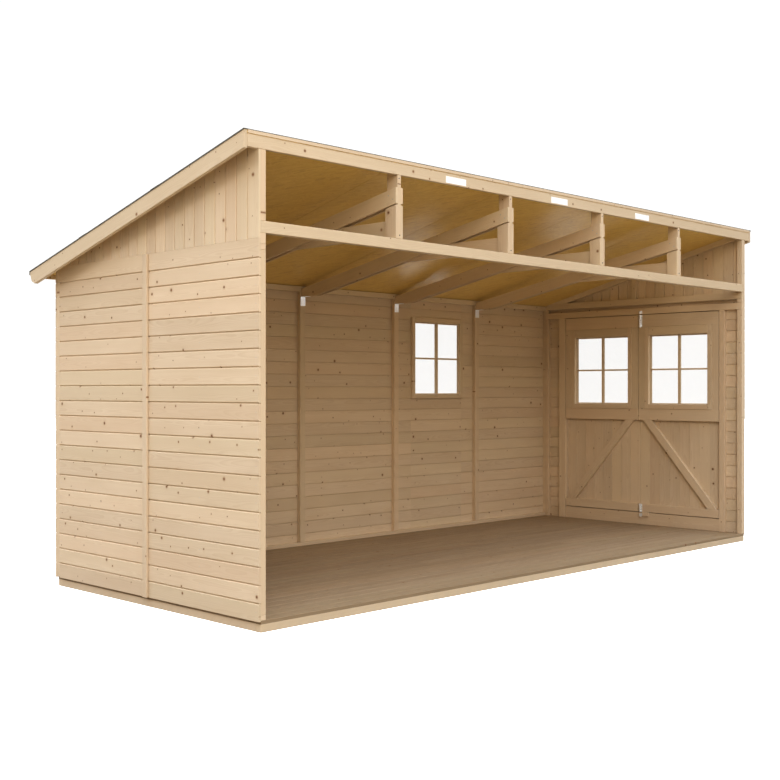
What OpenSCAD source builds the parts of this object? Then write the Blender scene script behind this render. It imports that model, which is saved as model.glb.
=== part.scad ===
// Open-fronted timber garden shed with a mono-pitch roof, a glazed double
// door in the right end wall and a four-light window in the back wall.
// Millimetres, +Z up. The ground is Z = 0, the open long side faces -Y, and
// the origin lies under the middle of the roof.

/* [Base] */
// Length of the floor along the open side
base_l = 5100; // [4600:20:5600]
// Depth of the floor from the open side to the back
base_d = 2050; // [1950:10:2200]
// Height of the bearers that rest on the ground
bearer_h = 42; // [34:2:60]
// Thickness of the floor boards
floor_t = 19; // [16:1:24]

/* [Walls] */
// Height above ground at which the boarded walls end and the gables start
wall_top = 2032; // [2000:4:2100]
// Thickness of the wall boards
board_t = 14; // [12:1:20]
// Thickness of the wall frames behind the boards
frame_t = 34; // [28:1:45]
// Width of a stud
stud_w = 44; // [34:2:48]

/* [Roof] */
// Rise of the roof for each unit of depth
roof_slope = 0.255; // [0.24:0.005:0.27]
// Height of the underside of the roof sheet at the open side
deck_z = 2558; // [2540:2:2600]
// Thickness of the roof sheet
deck_t = 18; // [15:1:22]
// Overhang of the roof past the floor at each end
side_over = 113; // [95:1:140]
// Overhang of the roof past the floor at the back
back_over = 168; // [120:1:220]
// Depth of the barge boards
barge_h = 96; // [80:1:120]
// Thickness of the barge boards
barge_t = 24; // [18:1:28]

/* [Trusses] */
// Rise of the rafters for each unit of depth
rafter_slope = 0.197; // [0.19:0.001:0.2]
// Height of the rafters' lower edge at the open side
rafter_z = 2324; // [2316:2:2330]
// Depth of a rafter measured plumb
rafter_h = 93; // [84:1:98]
// Thickness of one rafter board
rafter_t = 15; // [12:1:18]
// Thickness of the post and the tie between the rafter boards
post_t = 28; // [24:1:34]
// Depth of the truss post
post_d = 88; // [70:1:100]
// Height of the header beam's underside
header_z = 2060; // [2058:1:2066]
// Height of the header beam itself
header_h = 62; // [50:1:70]

/* [Doors] */
// Distance from the open side to the doorway
door_y0 = 207; // [180:1:230]
// Width of the doorway
door_w = 1578; // [1500:2:1590]
// Height of the top of the sill board
sill_z = 166; // [140:1:180]
// Height of the doorway's head
head_z = 1918; // [1880:1:1920]
// Clearance around each door leaf
gap = 5; // [5:0.5:8]

/* [Window] */
// Distance from the left end of the floor to the window frame
win_x0 = 3254; // [3200:1:3300]
// Width of the window frame
win_w = 640; // [600:1:680]
// Height of the window frame's lower edge
win_z0 = 1178; // [1100:1:1200]
// Height of the window frame
win_h = 684; // [640:1:700]

/* [Hidden] */
$fn = 48;

e = 0.4;                                // open joint between timbers of one frame
floor_z = bearer_h + floor_t;           // top of the floor
clad_z = 55;                            // lower edge of the wall boards
bays = 5;                               // roof bays between the two ends
bay = base_l / bays;
end_y = base_d - frame_t;               // where the end walls meet the back wall
felt_t = 3;
roof_y0 = 0;
roof_y1 = base_d + back_over;
y_mid = (roof_y0 + roof_y1) / 2;
split_y = 1027;                         // joint between the two left wall panels
plate_h = 28;                           // bottom plates
gable_z0 = 2003;                        // underside of the gable frames
gable_h = header_z - gable_z0 - e;
rail_top = 1972;                        // top of the door head rail

// Colours
c_out = [0.86, 0.75, 0.62];
c_in = [0.68, 0.52, 0.36];
c_osb = [0.62, 0.46, 0.20];
c_zinc = [0.80, 0.81, 0.82];
c_glass = [0.85, 0.92, 0.93, 0.35];
c_felt = [0.66, 0.66, 0.63];

function deck_under(y) = deck_z - roof_slope * y;
function raft_low(y) = rafter_z - rafter_slope * y;

// Moves the shed from its front left corner to the origin
module place() translate([-base_l / 2, -y_mid, 0]) children();

// Prism along X from a profile of [y, z] points
module along_x(x0, x1, pts)
    translate([x0, 0, 0]) rotate([90, 0, 90]) linear_extrude(height = x1 - x0) polygon(pts);

// Box between two corners
module bx(a, b) translate(a) cube([b[0] - a[0], b[1] - a[1], b[2] - a[2]]);

// Ring in the Y-Z plane: outer box with a window cut through along X
module ring_x(x0, x1, ya, yb, za, zb, l, r, bot, top)
    difference() {
        bx([x0, ya, za], [x1, yb, zb]);
        bx([x0 - 1, ya + l, za + bot], [x1 + 1, yb - r, zb - top]);
    }

// ---- base and floor ----
module base_long_beams() place() color(c_out) {
    bx([0, 0, 0], [base_l, 44, bearer_h]);
    bx([0, base_d - 44, 0], [base_l, base_d, bearer_h]);
}
module base_joists() place() color(c_out)
    for (i = [0 : 10])
        bx([i * (base_l - 44) / 10, 44 + e, 0],
           [i * (base_l - 44) / 10 + 44, base_d - 44 - e, bearer_h]);
module floor_boards() place() color(c_in)
    bx([0, 0, bearer_h], [base_l, base_d, floor_z]);

// ---- left end wall ----
module left_wall_boards() place() color(c_out) {
    bx([-board_t, 0, clad_z], [0, split_y - 1, wall_top]);
    bx([-board_t, split_y + 1, clad_z], [0, end_y, wall_top]);
}
module left_wall_cover_strip() place() color(c_out)
    bx([-board_t - 16, split_y - 23, clad_z], [-board_t, split_y + 23, wall_top]);
// Frame of an end wall between x0 and x1: plates and studs at the given places
module end_frame(x0, x1, studs) {
    bx([x0, 0, floor_z], [x1, end_y, floor_z + plate_h]);
    bx([x0, 0, gable_z0 - 31], [x1, end_y, gable_z0 - e]);
    for (y = studs) bx([x0, y, floor_z + plate_h + e], [x1, y + stud_w, gable_z0 - 31 - e]);
}
module left_wall_frame() place() color(c_in)
    end_frame(0, frame_t, [0, 491, split_y - stud_w - 1, split_y + 1, 1499, end_y - stud_w]);

// Boards of a gable: a wedge above the wall
module gable_boards(x0, x1)
    along_x(x0, x1, [[0, wall_top + e], [end_y, wall_top + e], [end_y, deck_under(end_y)], [26, deck_under(26)], [26, 2489], [0, 2489]]);
// Frame of a gable: bottom rail, sloping top rail, front stud and middle stud
module gable_frame(x0, x1) {
    zt = gable_z0 + gable_h;
    along_x(x0, x1, [[0, gable_z0], [end_y, gable_z0], [end_y, deck_under(end_y)], [(deck_z - zt) / roof_slope, zt], [0, zt]]);
    along_x(x0, x1, [[46, deck_under(46) - 46], [(deck_z - 46 - zt - e) / roof_slope, zt + e], [(deck_z - zt - e) / roof_slope, zt + e], [46, deck_under(46)]]);
    bx([x0, 0, header_z + header_h + e], [x1, 44, 2489]);
    along_x(x0, x1, [[1018, zt + e], [1062, zt + e], [1062, deck_under(1062) - 46 - e], [1018, deck_under(1018) - 46 - e]]);
}
module left_gable_boards() place() color(c_out) gable_boards(-board_t, 0);
module left_gable_frame() place() color(c_in) gable_frame(0, frame_t);

// ---- back wall ----
module back_wall_boards() place() color(c_out) {
    y0 = base_d; y1 = base_d + board_t; zt = wall_top - 3;
    bx([-board_t, y0, clad_z], [win_x0 - e, y1, zt]);
    bx([win_x0 + win_w + e, y0, clad_z], [base_l + board_t, y1, zt]);
    bx([win_x0, y0, clad_z], [win_x0 + win_w, y1, win_z0 - e]);
    bx([win_x0, y0, win_z0 + win_h + e], [win_x0 + win_w, y1, zt]);
}
module back_wall_frame() place() color(c_in) {
    bx([-board_t, end_y + e, floor_z], [base_l + board_t, base_d, floor_z + plate_h]);
    along_x(-board_t, base_l + board_t, [[end_y + e, wall_top - 34], [base_d, wall_top - 34], [base_d, wall_top], [end_y + e, deck_under(end_y) - 4]]);
    zt = wall_top - 34 - e;
    for (i = [1 : bays - 1])
        bx([i * bay - 36, end_y + e, floor_z + plate_h + e], [i * bay + 14, base_d, zt]);
    bx([-board_t, end_y + e, floor_z + plate_h + e], [30, base_d, zt]);
    bx([base_l - 30, end_y + e, floor_z + plate_h + e], [base_l + board_t, base_d, zt]);
}
// Four members of a casing in the Y-Z plane; l, r, bot and top are their widths
module casing_x(x0, x1, ya, yb, za, zb, l, r, bot, top) {
    bx([x0, ya, za], [x1, ya + l, zb]);
    bx([x0, yb - r, za], [x1, yb, zb]);
    bx([x0, ya + l + e, za], [x1, yb - r - e, za + bot]);
    bx([x0, ya + l + e, zb - top], [x1, yb - r - e, zb]);
}
module back_window_frame() place() color(c_in)
    translate([win_x0 + win_w, 0, 0]) rotate([0, 0, 90])
        casing_x(base_d - 20, base_d + board_t + 8, 0, win_w, win_z0, win_z0 + win_h, 36, 36, 34, 40);
module back_window_glass() place() color(c_glass)
    bx([win_x0 + 36, base_d + 4, win_z0 + 34], [win_x0 + win_w - 36, base_d + 8, win_z0 + win_h - 40]);

// ---- right end wall ----
door_y1 = door_y0 + door_w;
module right_wall_boards() place() color(c_out) {
    x0 = base_l; x1 = base_l + board_t;
    bx([x0, 0, clad_z], [x1, door_y0, wall_top]);
    bx([x0, door_y1, clad_z], [x1, end_y, wall_top]);
    bx([x0, door_y0 + e, head_z], [x1, door_y1 - e, wall_top]);
}
module right_wall_frame() place() color(c_in) {
    x0 = base_l - frame_t; x1 = base_l;
    z0 = floor_z; zr = rail_top;
    for (s = [[0, 44], [door_y0 - 48, door_y0], [door_y1, door_y1 + 74], [end_y - 33, end_y]])
        bx([x0, s[0], z0], [x1, s[1], head_z - e]);
    bx([x0, 0, head_z], [x1, end_y, rail_top]);
    bx([x0, 0, rail_top + e], [x1, 44, gable_z0 - e]);
    bx([x0, end_y - 33, rail_top + e], [x1, end_y, gable_z0 - e]);
}
module door_sill() place() color(c_in)
    bx([base_l - sill_in, door_y0 + e, floor_z], [base_l + board_t, door_y1 - e, sill_z]);
module door_stop_block() place() color(c_in)
    bx([base_l - sill_in - 14, 888, 134], [base_l - sill_in, 948, sill_z + 4]);
// Staples that the bolts slide into, on the sill and on the head rail
module keeper(z0, z1, xw)
    difference() {
        union() {
            bx([bolt_x - 8, bolt_y - 9, z0], [xw, bolt_y + 9, z1]);
            bx([xw - 2, bolt_y - 17, z0], [xw, bolt_y + 17, z1]);
        }
        translate([bolt_x, bolt_y, z0 - 1]) cylinder(r = 5, h = z1 - z0 + 2);
    }
module bolt_keepers() place() color(c_zinc) {
    keeper(sill_z - 36, sill_z - 8, base_l - sill_in);
    keeper(head_z + 6, head_z + 30, base_l - frame_t);
}
module right_gable_boards() place() color(c_out) gable_boards(base_l, base_l + board_t);
module right_gable_frame() place() color(c_in) gable_frame(base_l - frame_t, base_l);

// ---- door leaves ----
leaf_w = (door_w - 3 * gap) / 2;
leaf_z0 = sill_z + gap;
leaf_z1 = head_z - gap;
ra = door_y0 + gap;                     // right leaf, nearest the open side
rb = ra + leaf_w;
la = rb + gap;                          // left leaf
lb = la + leaf_w;
glass_z0 = 1124; glass_z1 = 1731;
glass_w = 574;
ledge_x = base_l - 32;                  // inner face of the door rails
sill_in = 30;                           // sill's depth inside the boards
bolt_x = ledge_x - 10;                  // axis of the barrel bolts
bolt_y = 970;
// Boards of a leaf around the glazing
module leaf_boards(ya, yb) {
    m = (yb - ya - glass_w) / 2;
    x0 = base_l; x1 = base_l + board_t;
    bx([x0, ya, leaf_z0], [x1, yb, glass_z0 - e]);
    bx([x0, ya, glass_z1 + e], [x1, yb, leaf_z1]);
    bx([x0, ya, glass_z0], [x1, ya + m, glass_z1]);
    bx([x0, yb - m, glass_z0], [x1, yb, glass_z1]);
}
// Rails, edge stiles and the diagonal brace, which runs from the middle rail
// down to the hinge side; flip puts the hinge side at the lower Y
module leaf_rails(ya, yb, flip) {
    m = (yb - ya - glass_w) / 2;
    bx([ledge_x, ya, 1804 + e], [base_l, yb, leaf_z1]);
    bx([ledge_x, ya, 983], [base_l, yb, 1082 - e]);
    bx([ledge_x, ya, leaf_z0], [base_l, yb, 242]);
    p = [[48, 983 - e], [132, 983 - e], [leaf_w - 20, 242 + e], [leaf_w - 104, 242 + e]];
    along_x(ledge_x, base_l, flip ? [for (q = p) [yb - q[0], q[1]]] : [for (q = p) [ya + q[0], q[1]]]);
    bx([ledge_x, ya, 1082], [base_l, ya + m - 37 - e, 1804]);
    bx([ledge_x, yb - m + 37 + e, 1082], [base_l, yb, 1804]);
}
module leaf_frame(ya, yb) {
    m = (yb - ya - glass_w) / 2;
    casing_x(ledge_x - 4, base_l - e, ya + m - 37, yb - m + 37, 1082, 1804, 37, 37, glass_z0 - 1082, 1804 - glass_z1);
}
module leaf_glass(ya, yb) {
    m = (yb - ya - glass_w) / 2;
    bx([base_l + 4, ya + m, glass_z0], [base_l + 8, yb - m, glass_z1]);
}
hinge_zs = [210, 1858];                 // on the bottom and top rails
hinge_x = base_l + board_t + 8;
// Strap on the leaf; s = -1 for a leaf that runs towards the open side, 1 away
module strap(yax, s) for (z = hinge_zs) {
    difference() {
        union() {
            translate([hinge_x, yax, z - 19]) cylinder(r = 7, h = 38);
            translate([hinge_x - 8, min(yax, yax + s * 360), z - 15]) cube([4, 360, 30]);
        }
        translate([hinge_x, yax, z - 30]) cylinder(r = 3.05, h = 60);
    }
}
module left_door_boards() place() color(c_out) leaf_boards(la, lb);
module left_door_rails() place() color(c_in) leaf_rails(la, lb, false);
module left_door_window_frame() place() color(c_in) leaf_frame(la, lb);
module left_door_glass() place() color(c_glass) leaf_glass(la, lb);
module left_door_hinges() place() color(c_zinc) strap(lb + gap / 2, -1);
module right_door_boards() place() color(c_out) leaf_boards(ra, rb);
module right_door_rails() place() color(c_in) leaf_rails(ra, rb, true);
module right_door_window_frame() place() color(c_in) leaf_frame(ra, rb);
module right_door_glass() place() color(c_glass) leaf_glass(ra, rb);
module right_door_hinges() place() color(c_zinc) strap(ra - gap / 2, 1);
// Fixed half of the T hinges, on the door posts
module hinge_plates() place() color(c_zinc)
    for (d = [[lb + gap / 2, 1], [ra - gap / 2, -1]]) for (z = hinge_zs) {
        translate([hinge_x, d[0], z - 50]) cylinder(r = 7, h = 30.5);
        translate([hinge_x, d[0], z + 19.5]) cylinder(r = 7, h = 30.5);
        translate([hinge_x, d[0], z - 50]) cylinder(r = 3, h = 100);
        for (k = [-50, 19.5]) translate([hinge_x - 8, min(d[0], d[0] + d[1] * 40), z + k]) cube([4, 40, 30.5]);
        translate([hinge_x - 8, min(d[0] + d[1] * 12, d[0] + d[1] * 40), z - 50]) cube([4, 28, 100]);
    }

// ---- barrel bolts on the right leaf ----
module guide(z0, z1) difference() {
    union() {
        bx([bolt_x, bolt_y - 7, z0], [ledge_x - 2, bolt_y + 7, z1]);
        translate([bolt_x, bolt_y, z0]) cylinder(r = 7, h = z1 - z0);
    }
    translate([bolt_x, bolt_y, z0 - 1]) cylinder(r = 4.3, h = z1 - z0 + 2);
}
top_bolt_z = 1806;
low_bolt_z = leaf_z0 + 1;
module bolt_barrels() place() color(c_zinc) {
    bx([ledge_x - 2, bolt_y - 17, top_bolt_z], [ledge_x, bolt_y + 17, leaf_z1 - 1]);
    guide(top_bolt_z, top_bolt_z + 25);
    guide(leaf_z1 - 31, leaf_z1 - 1);
    bx([ledge_x - 2, bolt_y - 17, low_bolt_z], [ledge_x, bolt_y + 17, 242]);
    guide(low_bolt_z, low_bolt_z + 16);
    guide(229, 242);
}
module top_bolt() place() color(c_zinc) {
    translate([bolt_x, bolt_y, 1800]) cylinder(r = 4, h = leaf_z1 - 1800);
    translate([bolt_x, bolt_y, 1840]) rotate([0, -90, 0]) cylinder(r = 3, h = 16);
}
module bottom_bolt() place() color(c_zinc) {
    translate([bolt_x, bolt_y, leaf_z0]) cylinder(r = 4, h = 246 - leaf_z0);
    translate([bolt_x, bolt_y, 222]) rotate([0, -90, 0]) cylinder(r = 3, h = 16);
}

// ---- open side and trusses ----
module header_beam() place() color(c_out)
    bx([0, 0, header_z], [base_l, 44, header_z + header_h]);
module at_trusses() for (i = [1 : bays - 1]) translate([i * bay, 0, 0]) children();
hz = header_z + header_h;
module truss_posts() place() color(c_out) at_trusses()
    along_x(-post_t / 2, post_t / 2, [[0, hz], [post_d, hz], [post_d, deck_under(post_d)], [26, deck_under(26)], [26, 2489], [0, 2489]]);
tie_z0 = 2137; tie_z1 = 2231;
module truss_ties() place() color(c_in) at_trusses()
    along_x(-post_t / 2, post_t / 2, [[post_d + e, tie_z0], [(rafter_z - tie_z0) / rafter_slope + 150, tie_z0],
        [(rafter_z - tie_z0) / rafter_slope + 60, tie_z0 + 60], [(rafter_z + rafter_h - tie_z1) / rafter_slope - 20, tie_z1], [post_d + e, tie_z1]]);
seat_z = 1960;                          // level cut under the rafters' back ends
module truss_rafters() place() color(c_in) at_trusses()
    for (s = [-1, 1]) translate([s > 0 ? post_t / 2 : -post_t / 2 - rafter_t, 0, 0])
        along_x(0, rafter_t, [[0, raft_low(0)], [(rafter_z - seat_z) / rafter_slope, seat_z], [end_y, seat_z], [end_y, raft_low(end_y) + rafter_h], [0, raft_low(0) + rafter_h]]);
module truss_packers() place() color(c_out) at_trusses()
    for (s = [-1, 1]) translate([s > 0 ? post_t / 2 : -post_t / 2 - rafter_t, 0, 0])
        along_x(0, rafter_t, [[0, hz], [post_d, hz], [post_d, raft_low(post_d) - 8], [0, raft_low(0) - 8]]);
// Angle brackets where the rafters meet the back wall studs
module rafter_brackets() place() color(c_zinc) at_trusses()
    translate([-35, 0, 0]) along_x(0, 48, [[end_y, seat_z - 70], [end_y, seat_z - 0.2], [end_y - 64, seat_z - 0.2], [end_y - 64, seat_z - 2.7], [end_y - 2.5, seat_z - 2.7], [end_y - 2.5, seat_z - 70]]);

// ---- roof ----
module slab(x0, x1, y0, y1, under, t)
    along_x(x0, x1, [[y0, deck_under(y0) + under], [y1, deck_under(y1) + under], [y1, deck_under(y1) + under + t], [y0, deck_under(y0) + under + t]]);
dv = deck_t * sqrt(1 + roof_slope * roof_slope);
roof_x0 = -side_over + felt_t;          // outer faces of the barge boards
roof_x1 = base_l + side_over - felt_t;
module roof_deck() place() color(c_osb)
    slab(roof_x0 + barge_t, roof_x1 - barge_t, roof_y0, roof_y1, 0, dv);
// Sheet over the roof, turned down over all four edges
module roof_covering() place() color(c_felt) {
    slab(roof_x0 - felt_t, roof_x1 + felt_t, roof_y0 - felt_t, roof_y1 + felt_t, dv + 0.1, felt_t - 0.1);
    for (x = [roof_x0 - felt_t, roof_x1]) slab(x, x + felt_t, roof_y0 - felt_t, roof_y1 + felt_t, dv - 10, 10 + felt_t);
    slab(roof_x0 + barge_t, roof_x1 - barge_t, roof_y0 - felt_t, roof_y0, 3, dv);
    slab(roof_x0 - felt_t, roof_x1 + felt_t, roof_y1, roof_y1 + felt_t, -4, dv + 5);
}
module barge_boards() place() color(c_out)
    for (x = [roof_x0, roof_x1 - barge_t])
        along_x(x, x + barge_t, [[0, deck_under(0) + dv - barge_h], [roof_y1 - 60, deck_under(roof_y1 - 60) + dv - barge_h], [roof_y1 - 22, deck_under(roof_y1 - 22) + dv - barge_h + 26],
            [roof_y1, deck_under(roof_y1) - 0.2], [roof_y1, deck_under(roof_y1) + dv], [0, deck_under(0) + dv]]);
module front_fascia() place() color(c_out)
    along_x(roof_x0 + barge_t + e, roof_x1 - barge_t - e, [[0, 2490], [25, 2490], [25, deck_under(25) - 0.2], [0, deck_under(0) - 0.2]]);
module back_eave_batten() place() color(c_out)
    along_x(roof_x0 + barge_t + e, roof_x1 - barge_t - e, [[roof_y1 - 20, 1970], [roof_y1, 1970], [roof_y1, deck_under(roof_y1) - 0.2], [roof_y1 - 20, deck_under(roof_y1 - 20) - 0.2]]);
// Flat galvanised plates across the joints of the fascia
module joint_plates() place() color(c_zinc)
    for (x = [1512, 2557, 3567]) bx([x - 92, -1.5, 2497], [x + 92, 0, 2538]);

base_long_beams();
base_joists();
floor_boards();
left_wall_boards();
left_wall_cover_strip();
left_wall_frame();
left_gable_boards();
left_gable_frame();
back_wall_boards();
back_wall_frame();
back_window_frame();
back_window_glass();
right_wall_boards();
right_wall_frame();
door_sill();
door_stop_block();
bolt_keepers();
right_gable_boards();
right_gable_frame();
left_door_boards();
left_door_rails();
left_door_window_frame();
left_door_glass();
left_door_hinges();
right_door_boards();
right_door_rails();
right_door_window_frame();
right_door_glass();
right_door_hinges();
bolt_barrels();
top_bolt();
bottom_bolt();
hinge_plates();
header_beam();
truss_posts();
truss_ties();
truss_rafters();
truss_packers();
rafter_brackets();
roof_deck();
roof_covering();
barge_boards();
front_fascia();
back_eave_batten();
joint_plates();
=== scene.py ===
import math
import random

import bmesh
import bpy
import numpy as np
from mathutils import Matrix, Vector


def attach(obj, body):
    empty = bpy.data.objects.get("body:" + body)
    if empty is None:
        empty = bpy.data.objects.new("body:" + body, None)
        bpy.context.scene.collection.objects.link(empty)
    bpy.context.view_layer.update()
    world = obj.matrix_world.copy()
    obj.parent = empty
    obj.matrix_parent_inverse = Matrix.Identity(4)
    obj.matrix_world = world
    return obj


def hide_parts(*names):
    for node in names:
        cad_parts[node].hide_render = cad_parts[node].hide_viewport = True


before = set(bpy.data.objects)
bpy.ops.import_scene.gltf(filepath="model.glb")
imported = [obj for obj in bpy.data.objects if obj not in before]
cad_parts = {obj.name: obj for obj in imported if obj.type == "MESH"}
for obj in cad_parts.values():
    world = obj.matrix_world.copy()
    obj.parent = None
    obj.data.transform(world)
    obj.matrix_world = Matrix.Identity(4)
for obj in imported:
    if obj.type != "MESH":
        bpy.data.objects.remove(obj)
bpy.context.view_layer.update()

rng = random.Random(20)
scene = bpy.context.scene

# ------------------------------------------------------------------ dimensions (mm, from the front left floor corner)
OX, OY = 2550.0, 1109.0
BL, BD = 5100.0, 2050.0
BT, FT = 14.0, 34.0
FLOOR_Z, CLAD_Z, WALL_TOP = 61.0, 55.0, 2032.0
PITCH = 93.8
END_Y = BD - FT
SLOPE, DECK_Z, DECK_T = 0.255, 2558.0, 18.0
DV = DECK_T * math.sqrt(1 + SLOPE * SLOPE)
RX0, RX1, RY0, RY1 = -110.0, 5210.0, 0.0, 2218.0
BARGE_T, BARGE_H, FELT = 24.0, 96.0, 3.0
SPLIT_Y = 1027.0
DY0, DY1 = 207.0, 1785.0
SILL_Z, HEAD_Z = 166.0, 1918.0
GAP = 5.0
LEAF_W = (DY1 - DY0 - 3 * GAP) / 2
LZ0, LZ1 = SILL_Z + GAP, HEAD_Z - GAP
RA = DY0 + GAP; RB = RA + LEAF_W
LA = RB + GAP; LB = LA + LEAF_W
GZ0, GZ1, GW = 1124.0, 1731.0, 574.0
LEDGE = BL - 32.0
HINGE_X = BL + BT + 8.0
HINGE_ZS = (210.0, 1858.0)
BOLT_X, BOLT_Y = LEDGE - 10.0, 970.0
WX0, WW, WZ0, WH = 3254.0, 640.0, 1178.0, 684.0
HZ0, HH = 2060.0, 62.0
R_SLOPE, R_Z, R_H, R_T, POST_T, POST_D, SEAT_Z = 0.197, 2324.0, 93.0, 15.0, 28.0, 88.0, 1960.0
GABLE_Z0 = 2003.0
E = 0.4


def under(y):
    return DECK_Z - SLOPE * y


def rlow(y):
    return R_Z - R_SLOPE * y


def V(p):
    return ((p[0] - OX) / 1000.0, (p[1] - OY) / 1000.0, p[2] / 1000.0)


# ------------------------------------------------------------------ mesh building
AX = {"X": Vector((1, 0, 0)), "Y": Vector((0, 1, 0)), "Z": Vector((0, 0, 1))}


class Build:
    """Collects pieces in mm and makes one mesh with a grain coordinate and a random number on each piece."""

    def __init__(self):
        self.v, self.f, self.g, self.r, self.smooth = [], [], [], [], []

    def add(self, verts, faces, grain=None, smooth=False, rnd=None, off=None):
        n0 = len(self.v)
        r = rng.random() if rnd is None else rnd
        pts = [Vector(p) for p in verts]
        lo = Vector([min(p[i] for p in pts) for i in range(3)])
        hi = Vector([max(p[i] for p in pts) for i in range(3)])
        c = (lo + hi) / 2
        if grain is None:
            grain = "XYZ"[max(range(3), key=lambda i: hi[i] - lo[i])]
        a = AX[grain] if isinstance(grain, str) else Vector(grain).normalized()
        others = sorted((ax for ax in AX.values()), key=lambda x: abs(x.dot(a)))[:2]
        others.sort(key=lambda x: -abs((hi - lo).dot(x)))
        b = (others[0] - a * others[0].dot(a)).normalized()
        d = a.cross(b).normalized()
        o = r * 90.0 if off is None else off
        for p in pts:
            q = p - c
            self.v.append(V(p))
            self.g.append((q.dot(a) / 1000.0 + o, q.dot(b) / 1000.0, q.dot(d) / 1000.0))
            self.r.append(r)
        for f in faces:
            self.f.append([n0 + i for i in f])
            self.smooth.append(smooth)

    def prism(self, base, top, ch=0.0, grain=None, seg=1, **k):
        """Prism between two outlines of the same number of points, with its edges chamfered by ch."""
        n = len(base)
        verts = list(base) + list(top)
        faces = [[i, (i + 1) % n, n + (i + 1) % n, n + i] for i in range(n)]
        faces += [list(range(n - 1, -1, -1)), list(range(n, 2 * n))]
        if ch <= 0:
            return self.add(verts, faces, grain, **k)
        bm = bmesh.new()
        vs = [bm.verts.new(p) for p in verts]
        for f in faces:
            bm.faces.new([vs[i] for i in f])
        bmesh.ops.recalc_face_normals(bm, faces=bm.faces)
        bmesh.ops.bevel(bm, geom=list(bm.edges), offset=ch, segments=seg, profile=0.5, affect="EDGES", clamp_overlap=True)
        bm.verts.index_update()
        vv = [v.co.copy() for v in bm.verts]
        ff = [[v.index for v in f.verts] for f in bm.faces]
        bm.free()
        self.add(vv, ff, grain, **k)

    def box(self, a, b, ch=1.2, grain=None, seg=1, **k):
        x0, y0, z0 = a
        x1, y1, z1 = b
        self.prism([(x0, y0, z0), (x1, y0, z0), (x1, y1, z0), (x0, y1, z0)],
                   [(x0, y0, z1), (x1, y0, z1), (x1, y1, z1), (x0, y1, z1)], ch, grain, seg, **k)

    def along_x(self, x0, x1, pts, ch=1.2, grain=None, **k):
        self.prism([(x0, y, z) for y, z in pts], [(x1, y, z) for y, z in pts], ch, grain, **k)

    def cyl(self, c, axis, r, h, n=24, ch=0.0, smooth=True, **k):
        """Cylinder from c along axis, with a chamfered rim at its far end."""
        a = Vector(axis).normalized()
        b = a.orthogonal().normalized()
        d = a.cross(b)
        rings = [(0, r), (h - ch, r)] + ([(h, r - ch)] if ch else [])
        verts, faces = [], []
        for t, rr in rings:
            for i in range(n):
                w = 2 * math.pi * i / n
                verts.append(Vector(c) + a * t + (b * math.cos(w) + d * math.sin(w)) * rr)
        m = len(rings)
        for j in range(m - 1):
            for i in range(n):
                faces.append([j * n + i, j * n + (i + 1) % n, (j + 1) * n + (i + 1) % n, (j + 1) * n + i])
        faces.append(list(range(n - 1, -1, -1)))
        faces.append([(m - 1) * n + i for i in range(n)])
        self.add(verts, faces, grain=tuple(a), smooth=False, **k)

    def screw(self, c, axis, r=4.0, h=1.6):
        """Domed screw head with a cross recess."""
        a = Vector(axis).normalized()
        b = a.orthogonal().normalized()
        d = a.cross(b)
        n = 16
        verts, faces = [], []
        rings = [(0, r), (h * 0.45, r * 0.97), (h * 0.85, r * 0.66), (h, r * 0.42)]
        for t, rr in rings:
            for i in range(n):
                w = 2 * math.pi * i / n
                verts.append(Vector(c) + a * t + (b * math.cos(w) + d * math.sin(w)) * rr)
        m = len(rings)
        for j in range(m - 1):
            for i in range(n):
                faces.append([j * n + i, j * n + (i + 1) % n, (j + 1) * n + (i + 1) % n, (j + 1) * n + i])
        k = len(verts)
        verts.append(Vector(c) + a * (h * 0.35))
        for i in range(n):
            faces.append([(m - 1) * n + i, (m - 1) * n + (i + 1) % n, k])
        faces.append(list(range(n - 1, -1, -1)))
        self.add(verts, faces, grain=tuple(a))

    def obj(self, name, mats, replaces=(), body="shed", slot=None, weld=False):
        me = bpy.data.meshes.new(name)
        me.from_pydata(self.v, [], self.f)
        at = me.attributes.new("grain", "FLOAT_VECTOR", "POINT")
        at.data.foreach_set("vector", np.array(self.g, np.float32).ravel())
        ar = me.attributes.new("piece", "FLOAT", "POINT")
        ar.data.foreach_set("value", np.array(self.r, np.float32))
        me.update()
        bm = bmesh.new()
        bm.from_mesh(me)
        bmesh.ops.recalc_face_normals(bm, faces=bm.faces)
        bm.to_mesh(me)
        bm.free()
        ob = bpy.data.objects.new(name, me)
        scene.collection.objects.link(ob)
        for m in (mats if isinstance(mats, (list, tuple)) else [mats]):
            me.materials.append(m)
        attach(ob, body)
        if replaces:
            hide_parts(*replaces)
        return ob


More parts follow.
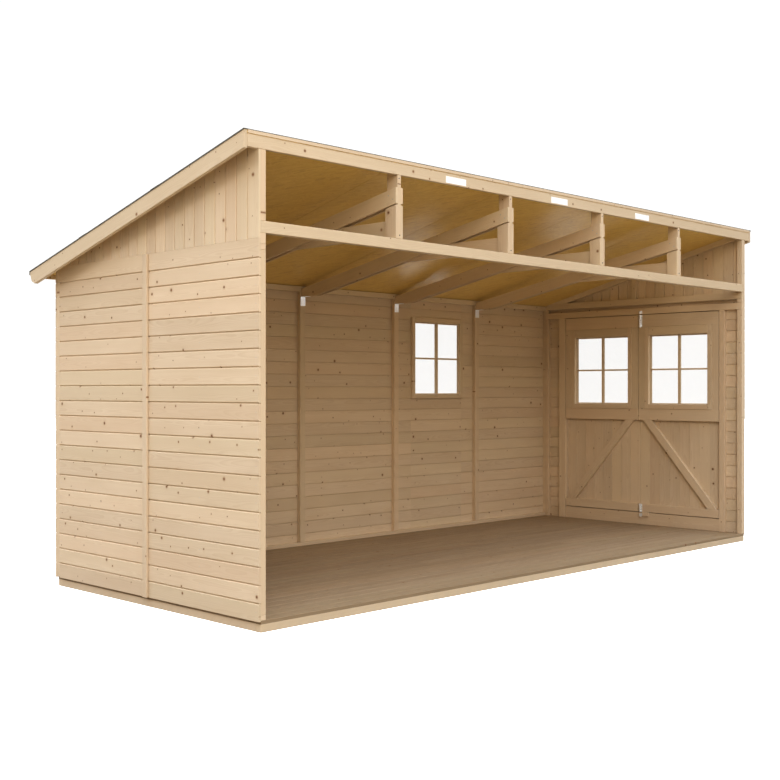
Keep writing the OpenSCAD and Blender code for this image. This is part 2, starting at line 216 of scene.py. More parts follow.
# ------------------------------------------------------------------ shader helpers
class N:
    def __init__(self, name):
        self.m = bpy.data.materials.new(name)
        self.m.use_nodes = True
        self.t = self.m.node_tree
        self.t.nodes.clear()
        self.out = self.t.nodes.new("ShaderNodeOutputMaterial")
        self.b = self.t.nodes.new("ShaderNodeBsdfPrincipled")
        self.t.links.new(self.b.outputs[0], self.out.inputs[0])

    def node(self, kind, **props):
        n = self.t.nodes.new(kind)
        for k, v in props.items():
            setattr(n, k, v)
        return n

    def put(self, sock, v):
        if isinstance(v, bpy.types.NodeSocket):
            self.t.links.new(v, sock)
        elif v is not None:
            sock.default_value = v

    def math(self, op, a, b=None, c=None, clamp=False):
        n = self.node("ShaderNodeMath", operation=op, use_clamp=clamp)
        self.put(n.inputs[0], a)
        if b is not None:
            self.put(n.inputs[1], b)
        if c is not None:
            self.put(n.inputs[2], c)
        return n.outputs[0]

    def comb(self, x, y, z):
        n = self.node("ShaderNodeCombineXYZ")
        self.put(n.inputs[0], x); self.put(n.inputs[1], y); self.put(n.inputs[2], z)
        return n.outputs[0]

    def sep(self, v):
        n = self.node("ShaderNodeSeparateXYZ")
        self.put(n.inputs[0], v)
        return n.outputs

    def noise(self, vec, scale, detail=2.0, rough=0.5, dist=0.0, dims="3D"):
        n = self.node("ShaderNodeTexNoise", noise_dimensions=dims)
        self.put(n.inputs["Vector"], vec)
        n.inputs["Scale"].default_value = scale
        n.inputs["Detail"].default_value = detail
        n.inputs["Roughness"].default_value = rough
        n.inputs["Distortion"].default_value = dist
        return n.outputs["Fac"]

    def vor(self, vec, scale, dims="2D", feature="F1"):
        n = self.node("ShaderNodeTexVoronoi", voronoi_dimensions=dims, feature=feature)
        self.put(n.inputs["Vector"], vec)
        n.inputs["Scale"].default_value = scale
        return n

    def ramp(self, fac, lo, hi, a=0.0, b=1.0, smooth=True):
        n = self.node("ShaderNodeMapRange", interpolation_type="SMOOTHSTEP" if smooth else "LINEAR", clamp=True)
        self.put(n.inputs[0], fac)
        self.put(n.inputs[1], lo)
        self.put(n.inputs[2], hi)
        n.inputs[3].default_value = a
        n.inputs[4].default_value = b
        return n.outputs[0]

    def mix(self, fac, a, b, blend="MIX"):
        n = self.node("ShaderNodeMix", data_type="RGBA", blend_type=blend)
        n.clamp_factor = True
        self.put(n.inputs[0], fac)
        self.put(n.inputs[6], a)
        self.put(n.inputs[7], b)
        return n.outputs[2]

    def attr(self, name):
        return self.node("ShaderNodeAttribute", attribute_name=name)

    def bump(self, height, strength, distance):
        n = self.node("ShaderNodeBump")
        n.inputs["Strength"].default_value = strength
        n.inputs["Distance"].default_value = distance
        self.put(n.inputs["Height"], height)
        self.t.links.new(n.outputs[0], self.b.inputs["Normal"])


def c4(r, g, b):
    return (r, g, b, 1.0)


def wood(name, light, dark, knot_amount=0.62, knot_size=1.0, variation=0.10, cells=7.4, ring=1.0, rough=0.62, streak=0.5):
    k = N(name)
    gx, gy, gz = k.sep(k.attr("grain").outputs["Vector"])
    rnd = k.attr("piece").outputs["Fac"]
    r2 = k.math("FRACT", k.math("MULTIPLY", rnd, 57.31))
    r3 = k.math("FRACT", k.math("MULTIPLY", rnd, 131.7))
    r4 = k.math("FRACT", k.math("MULTIPLY", rnd, 211.9))
    # knots: sparse round spots that pass through the board
    kv = k.comb(gx, k.math("ADD", gy, k.math("MULTIPLY", r2, 7.0)), 0.0)
    wob = k.noise(kv, 60.0, 1.0)
    v = k.vor(kv, cells, "2D")
    cr, cg, cb = k.sep(v.outputs["Color"])
    dist = k.math("DIVIDE", v.outputs["Distance"], cells)
    dist = k.math("ADD", dist, k.math("MULTIPLY", k.math("SUBTRACT", wob, 0.5), 0.003))
    keep = k.math("LESS_THAN", cr, knot_amount)
    rad = k.math("MULTIPLY_ADD", k.math("POWER", cg, 3.0), 0.0048 * knot_size, 0.0019 * knot_size)
    rel = k.math("DIVIDE", dist, rad)
    core = k.math("MULTIPLY", keep, k.ramp(rel, 1.15, 0.75))
    rim = k.math("MULTIPLY", keep, k.ramp(rel, 2.6, 0.9))
    halo = k.math("MULTIPLY", keep, k.ramp(rel, 6.0, 0.5))
    # growth rings round a pith off to one side, pushed aside by the knots
    warp = k.noise(k.comb(k.math("MULTIPLY", gx, 0.9), k.math("MULTIPLY", gy, 4.0), r3), 1.6, 2.0)
    warp2 = k.noise(k.comb(k.math("MULTIPLY", gx, 6.0), k.math("MULTIPLY", gy, 20.0), r3), 1.0, 2.0)
    py = k.math("ADD", gy, k.math("MULTIPLY_ADD", r4, 0.10, -0.05))
    pz = k.math("ADD", gz, k.math("MULTIPLY_ADD", r2, 0.06, 0.015))
    rr = k.math("SQRT", k.math("ADD", k.math("MULTIPLY", py, py), k.math("MULTIPLY", pz, pz)))
    rr = k.math("ADD", rr, k.math("MULTIPLY", warp, 0.050))
    rr = k.math("ADD", rr, k.math("MULTIPLY", warp2, 0.0035))
    rr = k.math("ADD", rr, k.math("MULTIPLY", halo, 0.006))
    saw = k.math("FRACT", k.math("MULTIPLY", rr, 250.0))
    late = k.math("MULTIPLY", k.ramp(saw, 0.25, 0.93), k.ramp(saw, 1.0, 0.95))
    # fibres and pores
    fib = k.noise(k.comb(k.math("MULTIPLY", gx, 9.0), k.math("MULTIPLY", gy, 700.0), k.math("MULTIPLY", gz, 700.0)), 1.0, 2.0, 0.6)
    stk = k.noise(k.comb(k.math("MULTIPLY", gx, 1.6), k.math("MULTIPLY", gy, 55.0), k.math("MULTIPLY", gz, 55.0)), 1.0, 3.0, 0.6)
    blot = k.noise(k.comb(k.math("MULTIPLY", gx, 2.0), k.math("MULTIPLY", gy, 7.0), rnd), 1.0, 2.0)
    f = k.math("MULTIPLY", late, 0.30 * ring)
    f = k.math("ADD", f, k.math("MULTIPLY", k.math("SUBTRACT", stk, 0.5), 0.9 * streak))
    f = k.math("ADD", f, k.math("MULTIPLY", k.math("SUBTRACT", fib, 0.5), 0.16))
    f = k.math("ADD", f, k.math("MULTIPLY", k.math("SUBTRACT", blot, 0.5), 0.55))
    f = k.math("ADD", f, k.math("MULTIPLY", halo, 0.16))
    f = k.math("ADD", f, 0.12, clamp=True)
    col = k.mix(f, c4(*light), c4(*dark))
    # board to board: some paler and greener, some pinker and darker
    pinkish = tuple(min(1.0, a * b) for a, b in zip(light, (0.985, 0.90, 0.84)))
    yellow = tuple(min(1.0, a * b) for a, b in zip(light, (0.93, 0.955, 0.88)))
    col = k.mix(k.math("MULTIPLY", k.ramp(r3, 0.45, 1.0), 0.30), col, c4(*pinkish), "MIX")
    col = k.mix(k.math("MULTIPLY", k.ramp(r4, 0.5, 1.0), 0.28), col, c4(*yellow), "MIX")
    dim = k.math("MULTIPLY_ADD", r2, -variation, 1.0 + variation * 0.35)
    col = k.mix(1.0, col, k.comb(dim, dim, dim), "MULTIPLY")
    col = k.mix(k.math("MULTIPLY", rim, 0.55), col, c4(0.34, 0.185, 0.085))
    col = k.mix(k.math("MULTIPLY", core, 0.9), col, k.mix(cb, c4(0.15, 0.07, 0.032), c4(0.30, 0.165, 0.085)))
    k.put(k.b.inputs["Base Color"], col)
    k.b.inputs["Roughness"].default_value = rough
    rgh = k.math("MULTIPLY_ADD", late, -0.08, rough)
    k.put(k.b.inputs["Roughness"], rgh)
    k.b.inputs["IOR"].default_value = 1.42
    k.b.inputs["Specular IOR Level"].default_value = 0.18
    h = k.math("ADD", k.math("MULTIPLY", late, 0.5), k.math("MULTIPLY", fib, 0.7))
    h = k.math("ADD", h, k.math("MULTIPLY", core, 0.6))
    k.bump(h, 0.35, 0.0006)
    return k.m


def osb(name):
    k = N(name)
    g = k.attr("grain").outputs["Vector"]
    gx, gy, gz = k.sep(g)
    cols = []
    for i, (ang, sx, sy) in enumerate(((0.15, 19.0, 78.0), (0.95, 20.0, 74.0), (-0.7, 17.0, 88.0), (2.2, 21.0, 80.0))):
        ca, sa = math.cos(ang), math.sin(ang)
        u = k.math("ADD", k.math("MULTIPLY", gx, ca * sx), k.math("MULTIPLY", gy, sa * sx))
        w = k.math("ADD", k.math("MULTIPLY", gx, -sa * sy), k.math("MULTIPLY", gy, ca * sy))
        wv = k.comb(k.math("ADD", u, 3.1 * i), k.math("ADD", w, 7.7 * i), 0.0)
        v = k.vor(wv, 1.0, "2D")
        cr, cg, cb = k.sep(v.outputs["Color"])
        fibre = k.noise(k.comb(k.math("MULTIPLY", u, 0.7), k.math("MULTIPLY", w, 9.0), cr), 1.0, 2.0)
        cols.append((cr, cg, cb, fibre, v.outputs["Distance"]))
    tone = cols[0][0]
    fib = cols[0][3]
    edge = cols[0][4]
    for cr, cg, cb, fibre, dd in cols[1:]:
        pick = k.math("GREATER_THAN", cg, 0.52)
        n = k.node("ShaderNodeMix", data_type="FLOAT")
        k.put(n.inputs[0], pick); k.put(n.inputs[2], tone); k.put(n.inputs[3], cr)
        tone = n.outputs[0]
        n = k.node("ShaderNodeMix", data_type="FLOAT")
        k.put(n.inputs[0], pick); k.put(n.inputs[2], fib); k.put(n.inputs[3], fibre)
        fib = n.outputs[0]
    f = k.math("ADD", k.math("MULTIPLY", tone, 0.55), k.math("MULTIPLY", fib, 0.30), clamp=True)
    big = k.noise(g, 2.2, 2.0)
    f = k.math("ADD", f, k.math("MULTIPLY", k.math("SUBTRACT", big, 0.5), 0.5), clamp=True)
    col = k.mix(f, c4(0.90, 0.69, 0.250), c4(0.74, 0.525, 0.155))
    chips = k.math("MULTIPLY", k.math("GREATER_THAN", cols[2][2], 0.94), 0.25)
    col = k.mix(chips, col, c4(0.50, 0.30, 0.09))
    pale = k.math("MULTIPLY", k.math("GREATER_THAN", cols[1][2], 0.94), 0.15)
    col = k.mix(pale, col, c4(0.88, 0.68, 0.34))
    k.put(k.b.inputs["Base Color"], col)
    k.b.inputs["Roughness"].default_value = 0.36
    k.b.inputs["Specular IOR Level"].default_value = 0.8
    k.bump(k.math("ADD", k.math("MULTIPLY", tone, 0.8), k.math("MULTIPLY", fib, 0.3)), 0.4, 0.0012)
    return k.m


def zinc(name, base=(0.56, 0.565, 0.57), rough=0.40, metal=0.80):
    k = N(name)
    g = k.attr("grain").outputs["Vector"]
    v = k.vor(g, 160.0, "3D")
    cr, cg, cb = k.sep(v.outputs["Color"])
    fine = k.noise(g, 900.0, 2.0)
    f = k.math("ADD", k.math("MULTIPLY", cr, 0.6), k.math("MULTIPLY", fine, 0.4), clamp=True)
    col = k.mix(f, c4(*[x * 0.93 for x in base]), c4(*[min(1, x * 1.05) for x in base]))
    k.put(k.b.inputs["Base Color"], col)
    k.b.inputs["Metallic"].default_value = metal
    k.put(k.b.inputs["Roughness"], k.math("MULTIPLY_ADD", cg, 0.12, rough - 0.06))
    k.bump(fine, 0.15, 0.0002)
    return k.m


def felt(name, light=(0.235, 0.222, 0.196), dark=(0.120, 0.115, 0.102)):
    k = N(name)
    g = k.attr("grain").outputs["Vector"]
    grit = k.vor(g, 620.0, "3D")
    cr, cg, cb = k.sep(grit.outputs["Color"])
    fine = k.noise(g, 300.0, 3.0, 0.7)
    big = k.noise(g, 1.3, 4.0, 0.65)
    f = k.math("ADD", k.math("MULTIPLY", cr, 0.55), k.math("MULTIPLY", fine, 0.35))
    f = k.math("ADD", f, k.math("MULTIPLY", k.math("SUBTRACT", big, 0.5), 1.1), clamp=True)
    col = k.mix(f, c4(*light), c4(*dark))
    spark = k.math("MULTIPLY", k.math("GREATER_THAN", cg, 0.93), 0.6)
    col = k.mix(spark, col, c4(0.50, 0.48, 0.44))
    k.put(k.b.inputs["Base Color"], col)
    k.b.inputs["Roughness"].default_value = 0.93
    k.bump(k.math("ADD", k.math("MULTIPLY", cr, 0.6), k.math("MULTIPLY", fine, 0.6)), 0.7, 0.0012)
    return k.m


def glass(name):
    k = N(name)
    tc = k.node("ShaderNodeTexCoord").outputs["Object"]
    wav = k.noise(tc, 3.0, 1.0)
    tint = k.mix(wav, c4(0.93, 0.97, 0.96), c4(0.96, 0.985, 0.975))
    k.put(k.b.inputs["Base Color"], tint)
    k.b.inputs["Roughness"].default_value = 0.03
    k.b.inputs["Alpha"].default_value = 0.07
    k.b.inputs["IOR"].default_value = 1.5
    k.bump(wav, 0.05, 0.001)
    k.m.surface_render_method = "BLENDED"
    return k.m


def plain(name, col, rough):
    k = N(name)
    tc = k.node("ShaderNodeTexCoord").outputs["Object"]
    n = k.noise(tc, 1.5, 3.0)
    k.put(k.b.inputs["Base Color"], k.mix(n, c4(*col), c4(*[x * 0.985 for x in col])))
    k.b.inputs["Roughness"].default_value = rough
    return k.m


def floor_paint(name):
    """Matt white paint that throws little light back up."""
    k = N(name)
    tc = k.node("ShaderNodeTexCoord").outputs["Object"]
    n = k.noise(tc, 1.5, 3.0)
    lpn = k.node("ShaderNodeLightPath")
    cam_ray = k.math("MAXIMUM", lpn.outputs["Is Camera Ray"], lpn.outputs["Is Glossy Ray"])
    k.put(k.b.inputs["Base Color"], k.mix(cam_ray, c4(0.30, 0.235, 0.160), k.mix(n, c4(0.80, 0.80, 0.795), c4(0.78, 0.78, 0.78))))
    k.b.inputs["Roughness"].default_value = 0.95
    k.b.inputs["Specular IOR Level"].default_value = 0.1
    k.b.inputs["Emission Color"].default_value = (1, 1, 1, 1)
    k.put(k.b.inputs["Emission Strength"], k.math("MULTIPLY", cam_ray, 0.75))
    return k.m


W_OUT = wood("wall_boards_spruce", (0.785, 0.668, 0.525), (0.632, 0.497, 0.350), variation=0.10, ring=0.8)
W_FRM = wood("framing_spruce", (0.780, 0.660, 0.512), (0.625, 0.490, 0.342), knot_amount=0.55, cells=6.2, variation=0.07, ring=0.8)
W_FLR = wood("floor_boards_spruce", (0.430, 0.335, 0.235), (0.315, 0.230, 0.150), knot_amount=0.4, variation=0.10, ring=1.3, streak=1.6)
OSB = osb("strand_board")
ZINC = zinc("zinc_plated_steel")
PLATE = zinc("galvanised_plate", (0.97, 0.97, 0.965), 0.38, 0.45)
NAIL = zinc("nail_heads", (0.62, 0.60, 0.57), 0.45)
BRIGHT = zinc("bright_zinc", (0.90, 0.90, 0.895), 0.32, 0.45)
# near-black screw heads: painted shade of the countersunk screw holes in the posts
SCREW_HOLE_SHADE = zinc("screw_hole_painted_shade", (0.20, 0.17, 0.14), 0.5, 0.6)
FELT_M = felt("roof_felt")
GLASS = glass("window_glass")

# ------------------------------------------------------------------ camera
cam = bpy.data.cameras.new("camera")
cam_ob = bpy.data.objects.new("camera", cam)
scene.collection.objects.link(cam_ob)
cam_ob.location = ((-3738.3 - OX) / 1000, (-4651.3 - OY) / 1000, 1.2491)
cam_ob.rotation_euler = (math.pi / 2, 0, -0.788598)
cam.lens = 53.215
cam.sensor_width = 36
cam.clip_end = 200
scene.camera = cam_ob


# ------------------------------------------------------------------ boards
def board_profile(w, t, out=3.2, inn=1.1, slot=2.5, lo_edge=True, hi_edge=True):
    """Outline (across, depth) of a tongued board: V joints on both faces and a tight tongue in the middle. Depth 0 is the outer face."""
    left = [(0, 6.5), (slot, 6.5), (slot, out), (out + slot, 0)] if lo_edge else [(0, 1.0), (1.0, 0)]
    right = [(w - out - slot, 0), (w - slot, out), (w - slot, 6.5), (w, 6.5)] if hi_edge else [(w - 1.0, 0), (w, 1.0)]
    rback = [(w, 8.5), (w - slot, 8.5), (w - slot, t - inn), (w - inn - slot, t)] if hi_edge else [(w, t - 1.0), (w - 1.0, t)]
    lback = [(inn + slot, t), (slot, t - inn), (slot, 8.5), (0, 8.5)] if lo_edge else [(1.0, t), (0, t - 1.0)]
    return left + right + rback + lback


def row(bld, place, lo, hi, start, end, t, pitch=PITCH, first=None, grain=None, lo_fn=None, hi_fn=None, merge_last=0.0):
    """A run of boards side by side from start to end. place(across, along, depth) gives the point. Boards run from lo to hi along their length."""
    edges = [start]
    a = start if first is None else first
    while a + pitch < end - merge_last:
        a += pitch
        edges.append(a)
    edges.append(end)
    for i in range(len(edges) - 1):
        w = edges[i + 1] - edges[i]
        if w < 2:
            continue
        small = w < 14
        prof = board_profile(w, t, lo_edge=i > 0 and not small, hi_edge=i < len(edges) - 2 and not small)
        if small:
            prof = [(0, 0), (w, 0), (w, t), (0, t)]
        base = [place(edges[i] + u, lo if lo_fn is None else lo_fn(edges[i] + u), d) for u, d in prof]
        top = [place(edges[i] + u, hi if hi_fn is None else hi_fn(edges[i] + u), d) for u, d in prof]
        bld.prism(base, top, 0.0, grain)
    return edges


def nails(bld, pts, axis, r=1.9):
    for p in pts:
        bld.cyl(p, axis, r, 0.5, n=8)


courses = [CLAD_Z + PITCH * k for k in range(21)]

# ---- left end wall
b = Build()
P = lambda a, l, d: (-BT + d, l, a)
row(b, P, 0, SPLIT_Y - 1, CLAD_Z, WALL_TOP, BT, grain="Y", merge_last=20)
row(b, P, SPLIT_Y + 1, END_Y, CLAD_Z, WALL_TOP, BT, grain="Y", merge_last=20)
b.obj("left_wall_boards_v", W_OUT, ["left_wall_boards"], slot="wall_timber")
b = Build()
b.box((-BT - 16, SPLIT_Y - 23, CLAD_Z), (-BT, SPLIT_Y + 23, WALL_TOP), 2.0, "Z")
b.obj("left_wall_cover_strip_v", W_OUT, ["left_wall_cover_strip"], slot="wall_timber")

b = Build()
studs_l = [0, 491, SPLIT_Y - 45, SPLIT_Y + 1, 1499, END_Y - 44]
b.box((0, 0, FLOOR_Z), (FT, END_Y, FLOOR_Z + 28), 1.5, "Y")
b.box((0, 0, GABLE_Z0 - 31), (FT, END_Y, GABLE_Z0 - E), 1.5, "Y")
for y in studs_l:
    b.box((0, y, FLOOR_Z + 28 + E), (FT, y + 44, GABLE_Z0 - 31 - E), 1.5, "Z")
b.obj("left_wall_frame_v", W_FRM, ["left_wall_frame"], slot="frame_timber")


# ---- gables
def gable(x0, x1, outer_first, name, rep, rail_name, rail_rep, fx0, fx1):
    b = Build()
    if outer_first:
        P = lambda a, l, d: (x0 + d, a, l)
    else:
        P = lambda a, l, d: (x1 - d, a, l)
    zb = WALL_TOP + E
    front = 26.0
    prof_y = [0.0, front]
    # the first board is cut round the fascia's back edge
    row(b, P, zb, None, 0.0, END_Y, BT, grain="Z", hi_fn=lambda a: min(under(a), 2489.0) if a < front else under(a), merge_last=20)
    b.obj(name, W_OUT, [rep], slot="wall_timber")
    b = Build()
    zt = HZ0 - E
    b.along_x(fx0, fx1, [(0, GABLE_Z0), (END_Y, GABLE_Z0), (END_Y, under(END_Y)), ((DECK_Z - zt) / SLOPE, zt), (0, zt)], 1.2, "Y")
    b.along_x(fx0, fx1, [(46, under(46) - 46), ((DECK_Z - 46 - zt - E) / SLOPE, zt + E), ((DECK_Z - zt - E) / SLOPE, zt + E), (46, under(46))], 1.2, (0, 1, -SLOPE))
    b.box((fx0, 0, HZ0 + HH + E), (fx1, 44, 2489), 1.5, "Z")
    b.along_x(fx0, fx1, [(1018, zt + E), (1062, zt + E), (1062, under(1062) - 46 - E), (1018, under(1018) - 46 - E)], 1.2, "Z")
    b.obj(rail_name, W_FRM, [rail_rep], slot="frame_timber")


gable(-BT, 0, True, "left_gable_boards_v", "left_gable_boards", "left_gable_frame_v", "left_gable_frame", 0, FT)
gable(BL, BL + BT, False, "right_gable_boards_v", "right_gable_boards", "right_gable_frame_v", "right_gable_frame", BL - FT, BL)

# ---- back wall
b = Build()
P = lambda a, l, d: (l, BD + BT - d, a)
zt = WALL_TOP - 3
below = [z for z in courses if z < WZ0]
row(b, P, -BT, WX0 - E, CLAD_Z, zt, BT, grain="X", merge_last=20)
row(b, P, WX0 + WW + E, BL + BT, CLAD_Z, zt, BT, grain="X", merge_last=20)
row(b, P, WX0, WX0 + WW, CLAD_Z, WZ0 - E, BT, grain="X")
row(b, P, WX0, WX0 + WW, WZ0 + WH + E, zt, BT, first=CLAD_Z + PITCH * 19, grain="X", merge_last=20)
b.obj("back_wall_boards_v", W_OUT, ["back_wall_boards"], slot="wall_timber")

b = Build()
b.box((-BT, END_Y + E, FLOOR_Z), (BL + BT, BD, FLOOR_Z + 28), 1.5, "X")
b.along_x(-BT, BL + BT, [(END_Y + E, WALL_TOP - 34), (BD, WALL_TOP - 34), (BD, WALL_TOP), (END_Y + E, under(END_Y) - 4)], 1.5, "X")
zs = WALL_TOP - 34 - E
stud_x = [(1020 * i - 36, 1020 * i + 14) for i in range(1, 5)]
for x0, x1 in stud_x + [(-BT, 30), (BL - 30, BL + BT)]:
    b.box((x0, END_Y + E, FLOOR_Z + 28 + E), (x1, BD, zs), 1.5, "Z")
b.obj("back_wall_frame_v", W_FRM, ["back_wall_frame"], slot="frame_timber")


# ---- window sashes
def sash(b, M, w0, w1, z0, z1, g0, g1, gz0, gz1, d0, d1, pane, bar_w=24.0, bar_z=None, bar_h=13.0, stop=8.0):
    """Frame of four members round the glass, with stops and glazing bars on both faces of the pane. M(along, depth, z)."""
    def bx(u0, u1, e0, e1, v0, v1, ch, grain):
        base = [M(u0, e0, v0), M(u1, e0, v0), M(u1, e1, v0), M(u0, e1, v0)]
        top = [M(u0, e0, v1), M(u1, e0, v1), M(u1, e1, v1), M(u0, e1, v1)]
        b.prism(base, top, ch, grain)
    along = (Vector(M(1, 0, 0)) - Vector(M(0, 0, 0)))
    al = tuple(along)
    bx(w0, g0, d0, d1, z0, z1, 2.2, "Z")
    bx(g1, w1, d0, d1, z0, z1, 2.2, "Z")
    bx(g0 + E, g1 - E, d0, d1, z0, gz0, 2.2, al)
    bx(g0 + E, g1 - E, d0, d1, gz1, z1, 2.2, al)
    # stops on the open side of the pane
    mid = (g0 + g1) / 2
    bz = (gz0 + gz1) / 2 if bar_z is None else bar_z
    for e0, e1 in ((d0 + 4, pane[0] - 0.2), (pane[1] + 0.2, min(d1 - 1.0, pane[1] + 7.0))):
        if e1 - e0 < 2:
            continue
        s0 = e1 - 9 if e1 <= pane[0] else e0
        s1 = e1 if e1 <= pane[0] else e0 + 9
        s1 = min(s1, e1) if e1 > pane[0] else s1
        bx(g0 + E, g0 + stop, s0, s1, gz0 + E, gz1 - E, 1.5, "Z")
        bx(g1 - stop, g1 - E, s0, s1, gz0 + E, gz1 - E, 1.5, "Z")
        bx(g0 + stop + E, g1 - stop - E, s0, s1, gz0 + E, gz0 + stop, 1.5, al)
        bx(g0 + stop + E, g1 - stop - E, s0, s1, gz1 - stop, gz1 - E, 1.5, al)
        bx(mid - bar_w / 2, mid + bar_w / 2, s0, s1, gz0 + stop + E, gz1 - stop - E, 1.5, "Z")
        bx(g0 + stop + E, mid - bar_w / 2 - E, s0, s1, bz - bar_h / 2, bz + bar_h / 2, 1.5, al)
        bx(mid + bar_w / 2 + E, g1 - stop - E, s0, s1, bz - bar_h / 2, bz + bar_h / 2, 1.5, al)


b = Build()
sash(b, lambda u, d, z: (u, BD - 20 + d, z), WX0, WX0 + WW, WZ0, WZ0 + WH, WX0 + 36, WX0 + WW - 36, WZ0 + 34, WZ0 + WH - 40,
     0.0, 42.0, (24.0, 28.0), bar_w=24, bar_h=13)
b.obj("back_window_frame_v", W_FRM, ["back_window_frame"], slot="frame_timber")

# ---- right end wall
b = Build()
P = lambda a, l, d: (BL + BT - d, l, a)
row(b, P, 0, DY0, CLAD_Z, WALL_TOP, BT, grain="Y", merge_last=20)
row(b, P, DY1, END_Y, CLAD_Z, WALL_TOP, BT, grain="Y", merge_last=20)
row(b, P, DY0 + E, DY1 - E, HEAD_Z, WALL_TOP, BT, first=CLAD_Z + PITCH * 19, grain="Y", merge_last=20)
b.obj("right_wall_boards_v", W_OUT, ["right_wall_boards"], slot="wall_timber")
b = Build()
x0, x1 = BL - FT, BL
for s0, s1 in ((0, 44), (DY0 - 48, DY0), (DY1, DY1 + 74), (END_Y - 33, END_Y)):
    b.box((x0, s0, FLOOR_Z), (x1, s1, HEAD_Z - E), 1.5, "Z")
b.box((x0, 0, HEAD_Z), (x1, END_Y, 1972), 1.5, "Y")
b.box((x0, 0, 1972 + E), (x1, 44, GABLE_Z0 - E), 1.2, "Z")
b.box((x0, END_Y - 33, 1972 + E), (x1, END_Y, GABLE_Z0 - E), 1.2, "Z")
b.obj("right_wall_frame_v", W_FRM, ["right_wall_frame"], slot="frame_timber")
b = Build()
b.box((BL - 30, DY0 + E, FLOOR_Z), (BL + BT, DY1 - E, SILL_Z), 2.0, "Y")
b.obj("door_sill_v", W_FRM, ["door_sill"], slot="frame_timber")
b = Build()
b.box((BL - 44, 888, 134), (BL - 30, 948, SILL_Z + 4), 1.5, "Z")
b.obj("door_stop_block_v", W_FRM, ["door_stop_block"], slot="frame_timber")

# ---- door leaves
M0 = (LEAF_W - GW) / 2


def leaf(side, ya, yb, flip, body):
    b = Build()
    P = lambda a, l, d: (BL + BT - d, a, l)
    n = 8
    pitch = (yb - ya) / n
    edges = [ya + pitch * i for i in range(n + 1)]
    g0, g1 = ya + M0, yb - M0
    for i in range(n):
        e0, e1 = edges[i], edges[i + 1]
        prof = board_profile(e1 - e0, BT, out=2.2, inn=1.0, slot=0.5, lo_edge=i > 0, hi_edge=i < n - 1)

        def piece(u0, u1, z0, z1):
            pr = [(min(max(u, u0 - e0), u1 - e0), d) for u, d in prof]
            clean = []
            for q in pr:
                if not clean or abs(q[0] - clean[-1][0]) + abs(q[1] - clean[-1][1]) > 1e-6:
                    clean.append(q)
            if abs(clean[0][0] - clean[-1][0]) + abs(clean[0][1] - clean[-1][1]) < 1e-6:
                clean.pop()
            if len(clean) >= 3:
                b.prism([P(e0 + u, z0, d) for u, d in clean], [P(e0 + u, z1, d) for u, d in clean], 0.0, "Z")
        piece(e0, e1, LZ0 - 4.2, GZ0 - E)
        piece(e0, e1, GZ1 + E, LZ1 + 4.2)
    # strips beside the glazing
    for s0, s1 in ((ya, g0), (g1, yb)):
        pr = board_profile(s1 - s0, BT, lo_edge=False, hi_edge=False)
        b.prism([P(s0 + u, GZ0, d) for u, d in pr], [P(s0 + u, GZ1, d) for u, d in pr], 0.0, "Z")
    b.obj(side + "_door_boards_v", W_OUT, [side + "_door_boards"], body, "wall_timber")
    b = Build()
    b.box((LEDGE, ya, 1804 + E), (BL, yb, LZ1), 1.6, "Y")
    b.box((LEDGE, ya, 983), (BL, yb, 1082 - E), 1.6, "Y")
    b.box((LEDGE, ya, LZ0), (BL, yb, 242), 1.6, "Y")
    b.box((LEDGE, ya, 1082), (BL, ya + M0 - 37 - E, 1804), 1.4, "Z")
    b.box((LEDGE, yb - M0 + 37 + E, 1082), (BL, yb, 1804), 1.4, "Z")
    p = [(48, 983 - E), (132, 983 - E), (LEAF_W - 20, 242 + E), (LEAF_W - 104, 242 + E)]
    pts = [((yb - u) if flip else (ya + u), z) for u, z in p]
    dy = (-1 if flip else 1) * (LEAF_W - 152)
    b.along_x(LEDGE, BL, pts, 1.6, (0, dy, -741))
    b.obj(side + "_door_rails_v", W_FRM, [side + "_door_rails"], body, "frame_timber")
    b = Build()
    sash(b, lambda u, d, z: (LEDGE - 4 + d, u, z), g0 - 37, g1 + 37, 1082, 1804, g0, g1, GZ0, GZ1, 0.0, 36.0 - E, (40.0, 44.0), bar_w=22, bar_z=1430, bar_h=13)
    # outer stops and bars, inside the boards' opening
    x0, x1 = BL + 8.3, BL + BT - 1
    mid = (g0 + g1) / 2
    for a0, a1, z0, z1, gr in ((g0 + E, g0 + 10, GZ0 + E, GZ1 - E, "Z"), (g1 - 10, g1 - E, GZ0 + E, GZ1 - E, "Z"),
                               (g0 + 10 + E, g1 - 10 - E, GZ0 + E, GZ0 + 10, "Y"), (g0 + 10 + E, g1 - 10 - E, GZ1 - 10, GZ1 - E, "Y"),
                               (mid - 11, mid + 11, GZ0 + 10 + E, GZ1 - 10 - E, "Z"),
                               (g0 + 10 + E, mid - 11 - E, 1423.5, 1436.5, "Y"), (mid + 11 + E, g1 - 10 - E, 1423.5, 1436.5, "Y")):
        b.box((x0, a0, z0), (x1, a1, z1), 1.2, gr)
    b.obj(side + "_door_window_frame_v", W_FRM, [side + "_door_window_frame"], body, "frame_timber")


leaf("right", RA, RB, True, "right_door")
leaf("left", LA, LB, False, "left_door")

